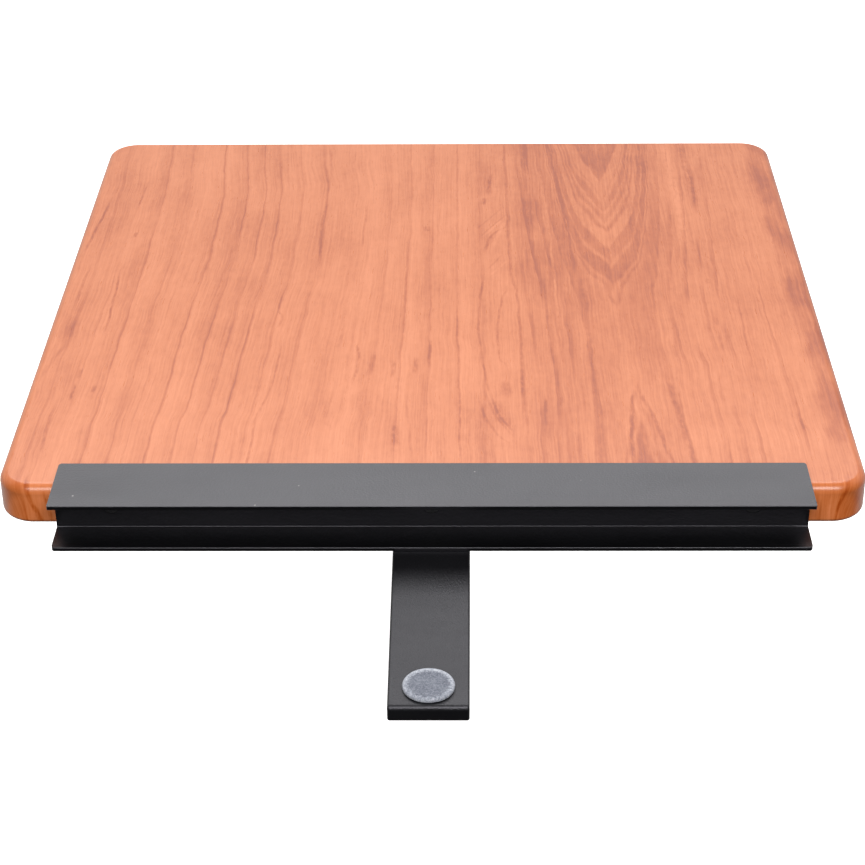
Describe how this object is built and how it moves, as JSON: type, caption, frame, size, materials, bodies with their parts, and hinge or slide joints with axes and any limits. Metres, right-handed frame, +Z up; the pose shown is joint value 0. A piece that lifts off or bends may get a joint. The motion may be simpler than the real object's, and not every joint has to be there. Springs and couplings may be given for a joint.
{
  "type": "desk converter extension shelf",
  "caption": "Clip-on wood-look shelf board with a black H-section edge channel that slips over a work-surface edge and a flat arm with a bumper bracing it below.",
  "frame": {"origin": "centre of the front face of the channel's web, where the edge of the host work surface stops; z = 0 is the mid-plane of the board and of the host slot", "axes": "+Y away from the host across the shelf board, +X along the channel, +Z up"},
  "size_m": [0.381, 0.5087, 0.0345],
  "materials": {
    "cherry_foil": "satin thermofoil with a printed cherry grain",
    "fibreboard": "raw fibreboard",
    "liner_sheet": "matt balancing sheet",
    "black_channel": "satin black anodised or coated extrusion",
    "black_arm": "satin black powder coat, fine texture",
    "black_screw": "black oxide",
    "black_spacer": "moulded nylon",
    "insert_metal": "zinc plated",
    "washer_steel": "zinc plated",
    "adhesive_film": "clear acrylic film",
    "frosted_bumper": "clear polyurethane with a frosted face"
  },
  "bodies": {
    "root": {"board_core": "fibreboard", "top_foil": "cherry_foil", "underside_liner": "liner_sheet", "edge_channel": "black_channel", "channel_screws": "black_screw", "support_arm": "black_arm", "arm_spacers": "black_spacer", "threaded_inserts": "insert_metal", "arm_washers": "washer_steel", "arm_screws": "black_screw", "bumper_adhesive": "adhesive_film", "bumper_pad": "frosted_bumper"}
  },
  "joints": []
}
